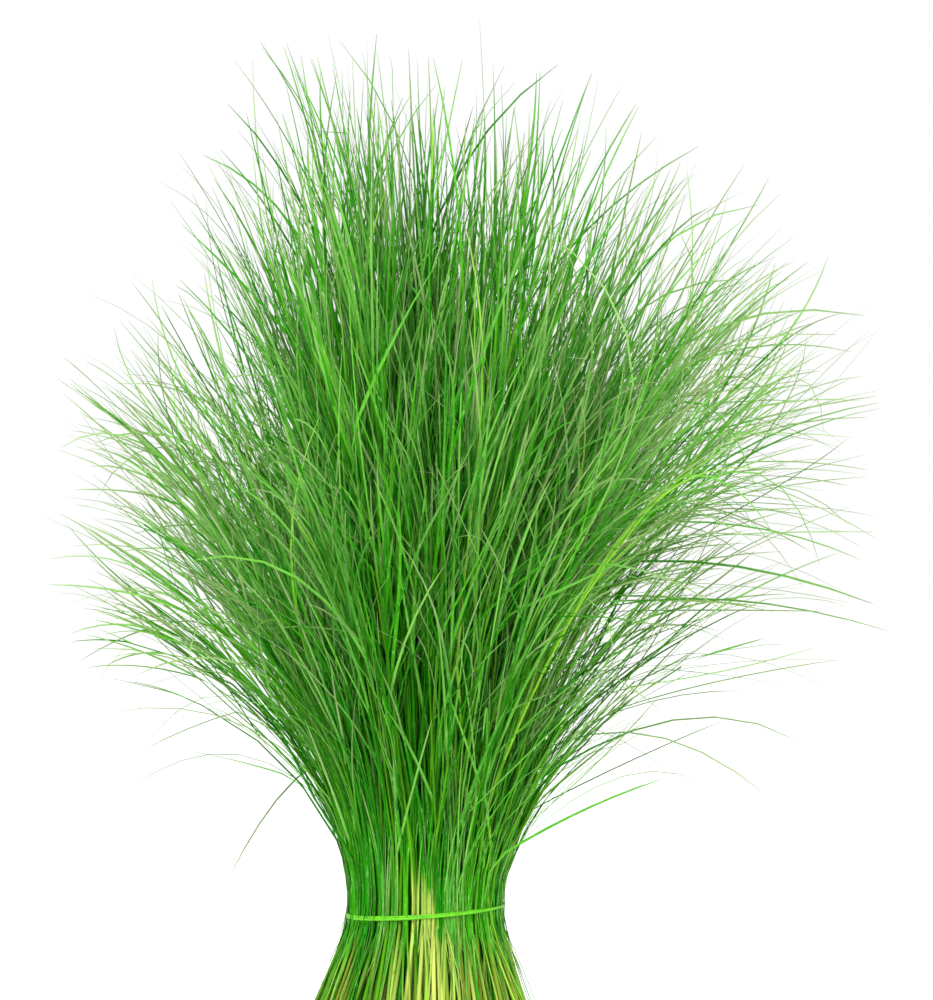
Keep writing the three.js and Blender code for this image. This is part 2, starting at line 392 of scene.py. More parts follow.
def plan_stems(sizes, rng):
    """The packing of all stems in the band, and their paths above it."""
    count = sizes.stems
    k = np.arange(count)
    radius = PACKING_EDGE * np.sqrt((k + 0.5) / count)
    angle = k * GOLDEN_TURN + rng.normal(0, PACKING_STRAY, count)
    x, y = radius * np.cos(angle), radius * np.sin(angle)
    centres = sprig_centres()
    sprig = np.argmin(np.hypot(x[:, None] - centres[:, 0], y[:, None] - centres[:, 1]), axis=1)
    height = rng.uniform(*SPRIG_HEIGHT, len(centres))
    clumping = sizes.clumping * mix(*DRAW_SIDES, smoothstep(*DRAW_FADE, centres[sprig, 0]))
    fan_x, fan_y = mix(x, centres[sprig, 0], clumping), mix(y, centres[sprig, 1], clumping)
    fan = fan_radius(fan_x, fan_y, clumping) / np.hypot(fan_x, fan_y)
    stray = sizes.crossing * np.where(rng.uniform(0, 1, count) < CROSSING_SHARE, CROSSING_MORE, 1)
    fan_x = fan_x * fan + rng.normal(0, stray)
    fan_y = fan_y * fan + rng.normal(0, stray)
    lime = {}
    for place_x, place_y, to_x, to_y, low, high in LIME_STEMS:
        nearest = int(np.argmin(np.hypot(x - place_x, y - place_y)))
        x[nearest], y[nearest] = place_x, place_y
        fan_x[nearest], fan_y[nearest] = to_x, to_y
        lime[nearest] = (low, high)
    over = np.maximum(1, np.hypot(fan_x, fan_y) / FAN_EDGE)
    fan_x, fan_y = fan_x / over, fan_y / over
    crown = np.interp(fan_x, CROWN_PLACE, CROWN_REACH)
    outer = smoothstep(*OUTER, np.abs(fan_x))
    uneven = rng.uniform(mix(*SHORT_STEM, outer), LONG_STEM, count)
    reach = full_length(fan_x, fan_y) * height[sprig] * crown * uneven
    reach = reach * mix(1, rng.uniform(*WING_REACH, count), smoothstep(*WING_RAGGED, fan_x))
    grid = np.linspace(0, 1, GRID)
    share = smoothstep(0, FAN_OVER, grid)[None, :, None]
    lengths = reach[:, None] * grid
    paths = mix(flow(x, y, lengths), flow(fan_x, fan_y, lengths), share)
    waves = rng.uniform(*WAVES, (count, 1, 1))
    paths = paths + share * rng.normal(0, WAVE_SIZE, (count, 1, 3)) * np.sin(grid[None, :, None] * waves)
    return {
        "x": x,
        "y": y,
        "sprig": sprig,
        "reach": reach,
        "paths": paths,
        "lime": lime,
        "outer": outer,
        "wing": smoothstep(*WING, fan_x),
    }


def grow_leaves(base, tangent, away, length, spread, droop, curl, kink):
    """Centre lines (n, LEAF_SEGMENTS + 1, 3) of leaves that leave their stems, arch over and hang."""
    points = np.empty((len(length), LEAF_SEGMENTS + 1, 3))
    points[:, 0] = base
    bend = np.zeros_like(base)
    step = (length / LEAF_SEGMENTS)[:, None]
    for i in range(LEAF_SEGMENTS):
        t = (i + 0.5) / LEAF_SEGMENTS
        opened = smoothstep(0, SHEATH_SHARE, t) * np.tan(spread)[:, None]
        bend += np.where(kink["at"] == i, kink["size"], 0)[:, None] * unit(away + KINK_DROP * DOWN)
        heading = unit(tangent + opened * away + bend)
        points[:, i + 1] = points[:, i] + step * heading
        level = np.hypot(heading[:, 0], heading[:, 1])[:, None]
        bend += step * (droop[:, None] * level * DOWN + curl)
    return points


def outline_room(points, loose):
    """The share of each leaf's length that stays within the bunch's outline."""
    away = points - np.array([0, 0, OUTLINE_HEIGHT])
    out = np.hypot(away[..., 0], away[..., 1])
    lean = np.degrees(np.arctan2(out, away[..., 2]))
    right, left = (np.interp(lean, OUTLINE_LEAN, OUTLINE_REACH[side]) for side in ("right", "left"))
    limit = mix(left, right, smoothstep(-1, 1, away[..., 0] / np.maximum(out, 1e-9)))
    over = np.linalg.norm(away, axis=-1) - limit * loose[:, None]
    outside = over > 0
    share = (np.argmax(outside, axis=1) - 0.5) / (points.shape[1] - 1)
    return np.where(outside.any(axis=1), np.maximum(share, LEAST_KEPT), 1)


def keep_inside(points, loose):
    """Shortens the leaves that reach too far past the CAD model's box or the bunch's outline."""
    base = points[:, :1]
    reach = points - base
    room = outline_room(points, loose)
    for limit, sign in ((np.array(CAD_BOX[0]) - OUTSIDE, -1), (np.array(CAD_BOX[1]) + OUTSIDE, 1)):
        allowed = np.maximum((limit - base) * sign, LEAST_ALLOWED)
        room = np.minimum(room, (allowed / np.maximum(reach * sign, 1e-9)).min(axis=(1, 2)))
    return base + reach * room[:, None, None]


def blade_twist(points, away, turn, twist):
    """How far a blade's section turns about its centre line, so that its back faces away."""
    start = unit(points[:, 1] - points[:, 0])
    zero = unit(np.stack([start[:, 1], -start[:, 0], np.zeros(len(start))], axis=1))
    wanted = np.cross(away, start)
    angle = np.arctan2(np.sum(np.cross(zero, wanted) * start, axis=1), np.sum(zero * wanted, axis=1))
    along = np.linspace(0, 1, points.shape[1])
    return (angle + turn)[:, None] + twist[:, None] * along


def blade_widths():
    """A blade's half width along it, as a share of its widest: narrow foot, belly, drawn-out tip."""
    along = np.linspace(0, 1, LEAF_SEGMENTS + 1)
    foot = mix(BLADE_FOOT, 1, smoothstep(0, BLADE_BELLY, along))
    past = np.clip((along - BLADE_BELLY) / (1 - BLADE_BELLY), 0, 1)
    taper = 1 - BLADE_NARROWING * past**BLADE_POWER
    return foot * taper * (1 - TIP_NARROWING * smoothstep(TIP_FROM, 1, along))


def place_leaves(sizes, stems, rng):
    """Where the leaves stand: each one's stem, its place up that stem, and if it ends the stem."""
    stem, place, last = [], [], []
    tips = stems["reach"] * rng.uniform(*STEM_END, sizes.stems)
    outer_gap = np.where(stems["x"] > 0, GAP_OUTER["right"], GAP_OUTER["left"])
    gap = mix(mix(GAP_MIDDLE, outer_gap, stems["outer"]), GAP_WING, stems["wing"])
    for i in range(sizes.stems):
        at = rng.uniform(*FIRST_LEAF)
        while at < tips[i]:
            stem.append(i)
            place.append(max(at, 0))
            last.append(False)
            at += sizes.leaf_gap * rng.uniform(*GAP_RANGE) * gap[i]
        stem.append(i)
        place.append(tips[i])
        last.append(True)
    return np.array(stem), np.array(place), np.array(last), tips


def leaf_lengths(sizes, room, wing, last, rng):
    """How long the leaves are that have this room left; a stem's last leaf takes more of it."""
    length = sizes.leaf_length * rng.uniform(*LEAF_LENGTH, len(room)) * mix(1, WING_LENGTH, wing)
    length = np.minimum(length, room * rng.uniform(*LEAF_ROOM, len(room)))
    whole = room * (LAST_ROOM + LAST_MORE * rng.uniform(0, 1, len(room)) ** LAST_POWER)
    return np.maximum(np.where(last, whole, length), SHORTEST_LEAF)


def leaf_droop(rim, outer, stray, rng):
    """How strongly the leaves hang over: more at the rim, and much more in a few."""
    count = len(rim)
    droop = np.exp(rng.uniform(math.log(DROOP_LEAST), np.log(DROOP_MIDDLE + DROOP_RIM * rim**2), count))
    droop = droop * np.where(stray, STRAY_DROOP, mix(1, OUTER_DROOP, outer))
    hanging = rng.uniform(0, 1, count) < HANGING_SHARE * rim**3
    return np.where(hanging, rng.uniform(*HANGING_DROOP, count), droop)


def leaf_tones(x, rim, outer, high, upright, rng):
    """How light, lime and dry the leaves are: light and dry outside, above and on the flanks, with painted
    shade making the green darker inside the bunch.
    """
    begin = np.where(x > 0, FLANK["right"][0], FLANK["left"][0])
    full = np.where(x > 0, FLANK["right"][1], FLANK["left"][1])
    flank = smoothstep(begin, full, np.abs(x))
    edge = np.maximum(high, outer) * mix(INSIDE_DRY, 1, flank) * mix(INSIDE_DRY, 1, rim)
    lit = mix(1, TINT_SHADED, smoothstep(*SHADED, -x) * (1 - flank))
    # Painted shade: the further inside the bunch a leaf stands, the darker its green.
    tint = mix(TINT_INSIDE, mix(TINT_RIM, TINT_FLANK, flank), rim)
    return {
        "tint": rng.uniform(0, 1, len(x)) * tint * lit,
        "lime": rng.uniform(0, 1, len(x)) ** LIME_RARITY * upright,
        "dry": np.clip(rng.uniform(0, 1, len(x)) ** DRY_RARITY + edge * rng.uniform(*DRY_EDGE, len(x)), 0, 1),
    }


def plan_leaves(sizes, stems, rng):
    """Every leaf's centre line, width and colour values."""
    stem, place, last, tips = place_leaves(sizes, stems, rng)
    count = len(stem)
    share = np.clip(place / stems["reach"][stem], 0, 1) * (GRID - 1)
    index = np.minimum(share.astype(int), GRID - 2)
    here, there = stems["paths"][stem, index], stems["paths"][stem, index + 1]
    base = mix(here, there, (share - index)[:, None])
    tangent = unit(there - here)
    side = rng.uniform(0, TURN, sizes.stems)[stem] + math.pi * (np.arange(count) % 2)
    side += rng.normal(0, SIDE_STRAY, count)
    away = square_to(tangent, np.stack([np.cos(side), np.sin(side), np.zeros(count)], axis=1))
    x, y = stems["x"][stem], stems["y"][stem]
    rim, outer = np.hypot(x, y), stems["outer"][stem]
    length = leaf_lengths(sizes, stems["reach"][stem] - place, stems["wing"][stem], last, rng)
    spread = np.radians(rng.gamma(SPREAD_SHAPE, SPREAD_MIDDLE + SPREAD_RIM * rim**2, count))
    spread = np.where(last, spread * LAST_SPREAD, spread)
    right = smoothstep(*RIGHT_SIDE, x)
    straying = rng.uniform(0, 1, count) < mix(*STRAY_SHARE, right)
    stray = (rim > STRAY_RIM) & (place < mix(*STRAY_BELOW, right)) & straying
    outward = square_to(tangent, np.stack([x, y, np.zeros(count)], axis=1))
    away = np.where(stray[:, None], outward, away)
    spread = np.where(stray, np.radians(rng.uniform(*STRAY_SPREAD, count)), spread)
    length = np.where(stray, rng.uniform(*STRAY_LENGTH, count), length)
    droop = leaf_droop(rim, outer, stray, rng)
    curl = rng.normal(0, CURL, (count, 3)) * mix(1, OUTER_CURL, outer)[:, None]
    kinked = rng.uniform(0, 1, count) < KINKED_SHARE * rim**2
    kink = {"at": np.where(kinked, rng.integers(*KINK_AT, count), -1), "size": rng.uniform(*KINK_SIZE, count)}
    points = grow_leaves(base, tangent, away, length, spread, droop, curl, kink)
    points = keep_inside(points, rng.uniform(*OUTLINE_LOOSE, count))
    high = smoothstep(*HIGH, place / stems["reach"][stem])
    half = sizes.blade_half_width * np.clip(rng.normal(1, WIDTH_STRAY, count), NARROWEST, WIDEST)
    half = half * mix(1, OUTER_WIDTH, outer) * mix(1, HIGH_WIDTH, high)
    twist = blade_twist(points, away, rng.normal(0, LEAF_TURN, count), rng.normal(0, LEAF_TWIST, count))
    upright = ~stray & ~kinked & (spread < UPRIGHT)
    return {
        "stem": stem,
        "place": place,
        "points": points,
        "twist": twist,
        "half": half,
        "upright": upright,
        "tips": tips,
        **leaf_tones(x, rim, outer, high, upright, rng),
    }


def whole_path(x, y, jitter, path, rng, out=None, foot_angle=None):
    """A path from the cut end through the band and on, with the distance along it at each point."""
    foot = np.array([x * FOOT_SCALE, y * FOOT_SCALE, max(0, rng.normal(FOOT_HEIGHT, FOOT_UNEVEN))])
    if out is not None:
        foot[:2] = out * FOOT_SCALE * math.cos(foot_angle), out * FOOT_SCALE * math.sin(foot_angle)
    foot[:2] += rng.normal(0, jitter, 2)
    foot[0] *= FOOT_SIDE["right" if x > 0 else "left"]
    foot[:2] *= min(1, FOOT_EDGE * FOOT_SCALE / np.linalg.norm(foot[:2]))
    low = np.array([x * NECK_SCALE * FLARE, y * NECK_SCALE * FLARE, BAND_HEIGHT - NECK_HALF])
    middle = (foot + low) / 2
    middle[:2] += rng.normal(0, MIDWAY_STRAY * jitter, 2)
    path = np.concatenate([[foot, middle, low], path])
    return path, np.concatenate([[0], np.cumsum(np.linalg.norm(np.diff(path, axis=0), axis=1))])


def along_path(path, distance, at):
    return np.stack([np.interp(at, distance, path[:, axis]) for axis in range(3)], axis=1)


def stem_line(sizes, stems, i, tip, rng):
    """One stem from its cut end to its tip: points, half thickness, share along, swelling, height."""
    x, y = stems["x"][i], stems["y"][i]
    path, distance = whole_path(x, y, sizes.foot_stray, stems["paths"][i], rng)
    low_end, neck = distance[2], distance[3]
    end = min(distance[-1], neck + tip)
    nodes = np.arange(rng.uniform(*NODE_FIRST), min(end - NODE_END, NODE_LAST), rng.uniform(*NODE_GAP))
    if math.hypot(x, y) < NODED_FROM:
        nodes = nodes[:0]
    steps = np.arange(neck + STEM_STEPS_FROM, end - STEM_STEPS_TO, STEM_STEP)
    plain = np.concatenate([[0, low_end, neck, distance[1]], steps])
    clear = np.array([np.all(np.abs(nodes - place) > NODE_CLEAR) for place in plain])
    clear[:3] = True
    at = np.concatenate([plain[clear], nodes - NODE_HALF, nodes, nodes + NODE_HALF, [end]])
    rest = np.zeros(clear.sum() + len(nodes))
    swell = np.concatenate([rest, np.ones(len(nodes)), np.full(len(nodes), NODE_SHOULDER), [0]])
    order = np.argsort(at, kind="stable")
    at, swell = at[order], swell[order]
    taper = mix(1, STEM_TIP, np.clip((at - neck) / (end - neck), 0, 1))
    taper = taper * mix(1, STEM_ABOVE, smoothstep(neck, neck + STEM_THINS_OVER, at))
    radius = sizes.stem_radius * rng.uniform(*STEM_THICK)
    thickness = radius * mix(STEM_FOOT, 1, smoothstep(0, STEM_FOOT_TO, at)) * taper * (1 + NODE_SWELL * swell)
    return along_path(path, distance, at), thickness, at / end, swell, at - neck


def lime_share(window, above):
    """How lime a strand is at heights above the neck, for a stem that is lime within a window."""
    low, high = window
    begun = smoothstep(low - LIME_BEGINS, low + LIME_BEGINS, above)
    return begun * (1 - smoothstep(high - LIME_ENDS[0], high + LIME_ENDS[1], above))


def streak_pale(angle, above, soft):
    """How lime the streak makes a strand that stands at this angle round the bunch."""
    off = np.abs(angle - np.interp(above, STREAK_HEIGHT, STREAK_MIDDLE))
    off = off / (soft * np.interp(above, STREAK_HEIGHT, STREAK_HALF))
    return (1 - smoothstep(*STREAK_EDGE, off)) * (1 - smoothstep(*STREAK_TOP, above))


def wrap_blades(sizes, rng):
    """The sheaths and blades that lie on the outside of the bunch through the band, one by one."""
    grid = np.linspace(0, 1, GRID)
    for k in range(sizes.wraps + STRIP_STRANDS):
        angle = rng.uniform(0, TURN)
        edge = rng.uniform(*WRAP_EDGE)
        foot, fan = angle, angle + rng.normal(0, WRAP_LEAN)
        strip = k >= sizes.wraps
        if strip:
            foot, angle, fan = STRIP_ANGLES + rng.uniform(-STRIP_HALF, STRIP_HALF, 3)
        x, y = edge * math.cos(angle), edge * math.sin(angle)
        radius = rng.uniform(*WRAP_FAN)
        to_x, to_y = np.array([radius * math.cos(fan)]), np.array([radius * math.sin(fan)])
        lengths = grid[None, :] * full_length(to_x, to_y)[:, None]
        start = flow(to_x, to_y, lengths)[0]
        offset = np.array([x - to_x[0], y - to_y[0], 0]) * NECK_SCALE
        path = start + offset * (1 - smoothstep(0, FAN_OVER, grid))[:, None]
        path, distance = whole_path(x, y, WRAP_STRAY * sizes.foot_stray, path, rng, edge, foot)
        low = rng.uniform(0, WRAP_START["strip" if strip else "wrap"])
        high = distance[3] + rng.uniform(*WRAP_TOP)
        at = np.linspace(low, high, LEAF_SEGMENTS + 1)
        yield x, y, along_path(path, distance, at), at - distance[3], strip


def add_stems(sprigs, sizes, stems, tips, rng):
    """Adds every stem, green above the band and ripening to pale or to old husk at its foot."""
    for i in range(sizes.stems):
        points, thickness, along, swell, above = stem_line(sizes, stems, i, tips[i], rng)
        ripe = rng.uniform(0, 1)
        low = 1 - smoothstep(RIPE_FULL, RIPE_STEM + RIPE_STEM_MORE * ripe, above)
        angle = math.atan2(stems["y"][i], stems["x"][i])
        side = (stems["x"][i] + 1) / 2
        pale = low * (PALE_LEAST + PALE_MORE * ripe**PALE_POWER) * mix(*PALE_SIDES, side)
        streak = mix(PALE_STREAK, 1, ripe) * streak_pale(angle, above, rng.uniform(*STREAK_SOFT))
        lime = np.zeros(len(above))
        if i in stems["lime"]:
            lime = lime_share(stems["lime"][i], above)
            thickness = thickness * LIME_THICK
        sprigs[stems["sprig"][i]].add(
            points,
            STEM,
            thickness=thickness,
            along=along,
            swell=swell,
            pale=np.maximum(np.clip(pale, 0, 1), streak),
            lime=lime,
            tint=rng.uniform(0, 1) * mix(LEFT_TINT, 1, side),
            dry=rng.uniform(0, 1) ** HUSK_RARITY * low,
        )


def add_leaves(sprigs, stems, leaves):
    """Adds every leaf; those that stay with a lime stem turn lime along with it."""
    widths = blade_widths()
    along = np.linspace(0, 1, LEAF_SEGMENTS + 1)
    for j, i in enumerate(leaves["stem"]):
        lime = leaves["lime"][j]
        if i in stems["lime"] and leaves["upright"][j]:
            lime = max(lime, LIME_LEAF * float(lime_share(stems["lime"][i], leaves["place"][j])))
        sprigs[stems["sprig"][i]].add(
            leaves["points"][j],
            LEAF,
            thickness=leaves["half"][j] * widths,
            along=along,
            twist=leaves["twist"][j],
            tint=leaves["tint"][j],
            lime=lime,
            dry=leaves["dry"][j],
        )


def add_wraps(sprigs, sizes, rng):
    """Adds the sheaths and blades round the outside, each to the sprig that it lies nearest to."""
    centres = sprig_centres()
    widths = blade_widths()
    along = np.linspace(0, 1, LEAF_SEGMENTS + 1)
    for x, y, points, above, strip in wrap_blades(sizes, rng):
        start = unit(points[1:2] - points[:1])
        away = square_to(start, np.array([[x, y, 0.0]]))
        twist = blade_twist(points[None], away, rng.normal(0, WRAP_TURN, 1), rng.normal(0, WRAP_TWIST, 1))[0]
        half = WRAP_NARROW * sizes.blade_half_width * rng.uniform(*WRAP_WIDTH)
        side = (x + 1) / 2
        ripe = rng.uniform(0, 1) ** WRAP_PALE_POWER * mix(*WRAP_PALE_SIDES, side)
        ripe = ripe * (1 - smoothstep(RIPE_FULL, RIPE_WRAP, above))
        streak = streak_pale(math.atan2(y, x), above, rng.uniform(*STREAK_SOFT))
        pale = np.maximum(ripe, rng.uniform(*WRAP_STREAK) * streak)
        lime = rng.uniform(*STRIP_LIME) if strip else 0
        sprig = int(np.argmin(np.hypot(x - centres[:, 0], y - centres[:, 1])))
        sprigs[sprig].add(
            points,
            LEAF,
            thickness=half * widths,
            along=along,
            twist=twist,
            tint=rng.uniform(0, WRAP_TINT) * mix(LEFT_TINT, 1, side),
            pale=pale,
            lime=lime,
            dry=rng.uniform(0, 1) ** WRAP_DRY_RARITY,
        )


def grow_sprigs(sizes):
    """The centre lines of every sprig, in the order of the CAD model's nodes."""
    rng = np.random.default_rng(SEED)
    stems = plan_stems(sizes, rng)
    leaves = plan_leaves(sizes, stems, rng)
    sprigs = [Strands() for _ in sprig_centres()]
    add_stems(sprigs, sizes, stems, leaves["tips"], rng)
    add_leaves(sprigs, stems, leaves)
    add_wraps(sprigs, sizes, rng)
    return sprigs


# ---- Node trees -----------------------------------------------------------------------------
class Value:
    """A number in a node tree: an expression on values adds its Math nodes."""

    def __init__(self, nodes, socket):
        self.nodes = nodes
        self.socket = socket

    def _math(self, operation, *values):
        return self.nodes.number("ShaderNodeMath", {"operation": operation}, dict(enumerate(values)))

    def __add__(self, other):
        return self._math("ADD", self, other)

    def __sub__(self, other):
        return self._math("SUBTRACT", self, other)

    def __rsub__(self, other):
        return self._math("SUBTRACT", other, self)

    def __mul__(self, other):
        return self._math("MULTIPLY", self, other)

    __radd__ = __add__
    __rmul__ = __mul__

    def sine(self):
        return self._math("SINE", self)

    def ramp(self, low, high):
        """0 up to low, 1 from high, smooth between."""
        return self.nodes.number(
            "ShaderNodeMapRange",
            {"interpolation_type": "SMOOTHSTEP"},
            {"Value": self, "From Min": low, "From Max": high},
        )


class Nodes:
    """A node tree that is filled through one method for every type of node."""

    def __init__(self, tree):
        self.tree = tree
        self.tree.nodes.clear()

    @staticmethod
    def find(sockets, key):
        """A socket by its number, or by its name among those that the node's settings enable."""
        if isinstance(key, int):
            return sockets[key]
        return next(socket for socket in sockets if socket.name == key and socket.enabled)

    def node(self, kind, settings, sockets):
        node = self.tree.nodes.new(kind)
        for key, value in settings.items():
            setattr(node, key, value)
        for key, value in sockets.items():
            socket = self.find(node.inputs, key)
            source = value.socket if isinstance(value, Value) else value
            if isinstance(source, bpy.types.NodeSocket):
                self.tree.links.new(source, socket)
            else:
                socket.default_value = source
        return node

    def out(self, kind, settings, sockets, output=0):
        return self.find(self.node(kind, settings, sockets).outputs, output)

    def number(self, kind, settings, sockets, output=0):
        return Value(self, self.out(kind, settings, sockets, output))


# ---- Materials ------------------------------------------------------------------------------
class Finish(Nodes):
    """A material whose pattern comes from the strands' attributes or the object's own space."""

    def __init__(self, name):
        self.material = bpy.data.materials.new(name)
        self.material.use_nodes = True
        super().__init__(self.material.node_tree)

    def attribute(self, name):
        return self.number("ShaderNodeAttribute", {"attribute_name": name}, {}, "Fac")

    def blend(self, factor, one, other):
        """The colour one, turning to the other as factor goes from 0 to 1."""
        return self.out(
            "ShaderNodeMix", {"data_type": "RGBA"}, {"Factor": factor, "A": one, "B": other}, "Result"
        )

    def noise(self, place, scale, detail):
        settings = {"Vector": place, "Scale": scale, "Detail": detail}
        return self.number("ShaderNodeTexNoise", {}, settings, "Fac")

    def strand_noise(self, across, along, detail):
        """Noise drawn out along the strand that it is on, so that it reads as fine streaks."""
        corner = {
            "X": self.attribute("across") * across,
            "Y": self.attribute("along") * along,
            "Z": self.attribute("tint") * STRANDS_APART,
        }
        return self.noise(self.out("ShaderNodeCombineXYZ", {}, corner), 1.0, detail)

    def object_noise(self, scale, detail):
        place = self.out("ShaderNodeTexCoord", {}, {}, "Object")
        return self.noise(place, scale, detail)

    def bump(self, height, strength, distance):
        settings = {"Strength": strength, "Distance": distance, "Height": height}
        return self.out("ShaderNodeBump", {}, settings, "Normal")

    def surface(self, sockets):
        shader = self.out("ShaderNodeBsdfPrincipled", {}, sockets)
        self.node("ShaderNodeOutputMaterial", {}, {"Surface": shader})
        return self.material


def opaque(colour):
    return (*colour, 1.0)


def blade_finish(name, colours, green, lift):
    """Leaf blades: veins along them, a pale foot, a few lime blades, dry tips and painted highlight glints.
    """
    finish = Finish(name)
    tint, along = finish.attribute("tint"), finish.attribute("along")
    pale, dry = finish.attribute("pale"), finish.attribute("dry")
    deep, foot = opaque(colours.leaf_deep), opaque(colours.stem_pale)
    streaks = finish.strand_noise(across=2.2, along=9.0, detail=3.0)
    blotches = finish.strand_noise(across=0.4, along=2.5, detail=2.0)
    # Painted shade: low tints, on leaves inside the bunch, turn towards the deep green.
    colour = finish.blend((tint * 0.75 + blotches * 0.5 + lift).ramp(0.12, 0.92), deep, opaque(green))
    # Painted light: the highest tints, on leaves at the bunch's rim, turn to the fresh and lit green.
    colour = finish.blend((tint + streaks * 0.3).ramp(0.72, 1.2), colour, opaque(colours.leaf_fresh_lit))
    veins = (finish.attribute("across") * VEIN_COUNT).sine() * 0.5 + 0.5
    colour = finish.blend(veins * 0.16, colour, deep)
    colour = finish.blend((1.0 - along.ramp(0.0, 0.12)) * 0.2, colour, foot)
    colour = finish.blend(pale.ramp(0.25, 0.95) * 0.75, colour, foot)
    colour = finish.blend(finish.attribute("lime").ramp(0.25, 0.95) * 0.85, colour, opaque(colours.leaf_lime))
    tips = (along + dry * 0.42 - streaks * 0.12).ramp(0.55, 1.1)
    colour = finish.blend(tips * (dry * 0.8 + 0.1), colour, opaque(colours.straw))
    # Painted highlight: short light flecks along the blades, where light would glint.
    glints = finish.strand_noise(across=1.3, along=36.0, detail=0.0).ramp(0.66, 0.74)
    colour = finish.blend(glints * 0.22, colour, opaque(colours.painted_glint))
    return finish.surface(
        {
            "Base Color": colour,
            "Roughness": 0.42 + streaks * 0.22,
            "Normal": finish.bump(veins + streaks * 0.6, strength=0.25, distance=0.00012),
            "Specular IOR Level": 0.03,
        }
    )


def stem_finish(name, colours):
    """Stems: green above, pale lime yellow and olive husk towards the cut ends, with darker nodes."""
    finish = Finish(name)
    tint, pale, dry = finish.attribute("tint"), finish.attribute("pale"), finish.attribute("dry")
    deep = opaque(colours.leaf_deep)
    streaks = finish.strand_noise(across=2.6, along=26.0, detail=3.0)
    colour = finish.blend(tint.ramp(0.0, 0.9), deep, opaque(colours.stem_green))
    colour = finish.blend((pale + streaks * 0.35).ramp(0.32, 1.12), colour, opaque(colours.stem_pale))
    colour = finish.blend(finish.attribute("lime") * 0.85, colour, opaque(colours.leaf_lime))
    colour = finish.blend((streaks * streaks).ramp(0.2, 0.6) * 0.35, colour, deep)
    colour = finish.blend(dry.ramp(0.1, 0.7), colour, opaque(colours.husk))
    colour = finish.blend(finish.attribute("swell").ramp(0.3, 1.0) * 0.55, colour, opaque(colours.node))
    return finish.surface(
        {
            "Base Color": colour,
            "Roughness": 0.38 + streaks * 0.25,
            "Normal": finish.bump(streaks, strength=0.3, distance=0.00015),
            "Specular IOR Level": 0.05,
        }
    )


def cut_finish(name, colours):
    """The cut ends: pale pith in a greener skin."""
    finish = Finish(name)
    pith = finish.object_noise(scale=2600.0, detail=2.0)
    colour = finish.blend(pith.ramp(0.35, 0.7), opaque(colours.pith), opaque(colours.stem_pale))
    return finish.surface({"Base Color": colour, "Roughness": 0.7})


def rubber_finish(name, colours):
    """The rubber band: bright lime, slightly mottled darker in a noise pattern."""
    finish = Finish(name)
    mottle = finish.object_noise(scale=420.0, detail=4.0)
    grain = finish.object_noise(scale=4200.0, detail=2.0)
    dark = opaque(channel * BAND_DARK for channel in colours.band)
    colour = finish.blend(mottle.ramp(0.3, 0.75) * 0.6, opaque(colours.band), dark)
    return finish.surface(
        {
            "Base Color": colour,
            "Roughness": 0.34 + grain * 0.2,
            "Normal": finish.bump(grain, strength=0.3, distance=0.00008),
            "Specular IOR Level": 0.2,
        }
    )


